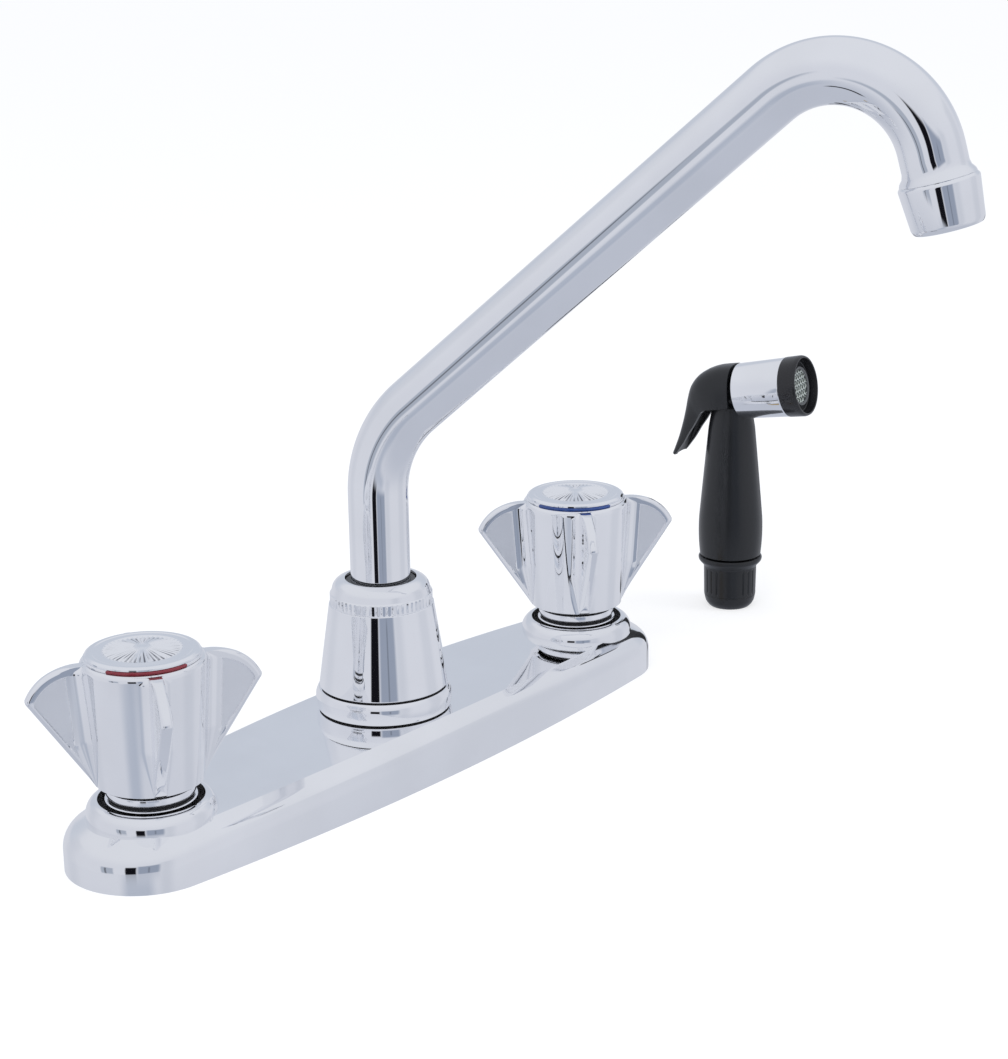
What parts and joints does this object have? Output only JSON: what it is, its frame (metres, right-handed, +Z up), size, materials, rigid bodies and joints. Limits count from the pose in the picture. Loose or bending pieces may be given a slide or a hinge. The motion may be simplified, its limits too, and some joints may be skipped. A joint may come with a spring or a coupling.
{
  "type": "two handle kitchen faucet",
  "caption": "Kitchen faucet with a bowed deck plate, cross-wing handles, a swivelling hooked tube spout and a hand sprayer that stands beside it.",
  "frame": {"origin": "midway between the two shanks, at the plane of the sink's top", "axes": "+X from the hot handle to the cold handle, the user stands at -Y, +Z up along the shanks"},
  "size_m": [0.3414, 0.2079, 0.2802],
  "materials": {
    "chrome": "polished",
    "brass": "machined",
    "copper": "drawn tube",
    "black_rubber": "matt",
    "black_plastic": "moulded, soft sheen",
    "grey_plastic": "moulded",
    "red_ring": "gloss",
    "blue_ring": "gloss",
    "button": "bright, faceted",
    "steel": "bright",
    "screen_steel": "woven"
  },
  "bodies": {
    "faucet": {"deck_cover": "chrome", "putty_plate": "grey_plastic", "valve_body_hot": "brass", "recess_seal_hot": "black_rubber", "valve_seat_hot": "black_rubber", "bonnet_hot": "chrome", "cross_tube_hot": "copper", "mounting_washer_hot": "steel", "mounting_nut_hot": "brass", "valve_body_cold": "brass", "recess_seal_cold": "black_rubber", "valve_seat_cold": "black_rubber", "bonnet_cold": "chrome", "cross_tube_cold": "copper", "mounting_washer_cold": "steel", "mounting_nut_cold": "brass", "spout_hub": "brass", "spray_nipple": "brass", "base_ring": "chrome", "spout_cone": "chrome", "spout_nut": "chrome", "spout_bushing": "black_plastic"},
    "spout": {"spout_spigot": "brass", "spout_o_rings": "black_rubber", "spout_tube": "chrome", "aerator_shell": "chrome", "aerator_washer": "black_rubber", "aerator_insert": "grey_plastic"},
    "hot_handle": {"stem_hot": "brass", "stem_o_ring_hot": "black_rubber", "handle_hot": "chrome", "handle_screw_hot": "steel", "index_ring_hot": "red_ring", "index_button_hot": "button"},
    "cold_handle": {"stem_cold": "brass", "stem_o_ring_cold": "black_rubber", "handle_cold": "chrome", "handle_screw_cold": "steel", "index_ring_cold": "blue_ring", "index_button_cold": "button"},
    "diverter": {"diverter_piston": "grey_plastic"},
    "sprayer": {"sprayer_hose_nut": "black_plastic", "sprayer_hose_washer": "black_rubber", "sprayer_body": "black_plastic", "sprayer_band": "chrome", "sprayer_nozzle_ring": "black_plastic", "sprayer_screen_ring": "steel", "sprayer_screen": "screen_steel", "sprayer_lever_pin": "steel", "sprayer_spring": "steel"},
    "spray_lever": {"sprayer_lever": "black_plastic"},
    "spray_plunger": {"sprayer_plunger": "grey_plastic"}
  },
  "joints": [
    {"name": "spout_swivel", "type": "hinge", "parent": "faucet", "child": "spout", "pos_m": [0, 0, 0.05], "axis": [0, 0, 1], "continuous": true},
    {"name": "hot_turn", "type": "hinge", "parent": "faucet", "child": "hot_handle", "pos_m": [-0.1016, 0, 0.03], "axis": [0, 0, 1], "range_deg": [0, 90]},
    {"name": "cold_turn", "type": "hinge", "parent": "faucet", "child": "cold_handle", "pos_m": [0.1016, 0, 0.03], "axis": [0, 0, 1], "range_deg": [-90, 0]},
    {"name": "diverter_lift", "type": "slide", "parent": "faucet", "child": "diverter", "axis": [0, 0, 1], "range_m": [0, 0.0025]},
    {"name": "sprayer_lift", "type": "slide", "parent": "faucet", "child": "sprayer", "axis": [0, 0, 1], "range_m": [0, 0.15]},
    {"name": "lever_press", "type": "hinge", "parent": "sprayer", "child": "spray_lever", "pos_m": [0.19364, -0.00362, 0.08496], "axis": [-0.9848, -0.1736, 0], "range_deg": [0, 12], "stiffness_Nm_per_rad": 0.15, "springref_deg": -17.19},
    {"name": "plunger_press", "type": "slide", "parent": "sprayer", "child": "spray_plunger", "axis": [0, 0, -1], "range_m": [0, 0.00086], "deforming": ["sprayer_spring"]}
  ],
  "couplings": [
    {"joint": "lever_press", "follows": "plunger_press", "rad_per_m": 242.2}
  ]
}
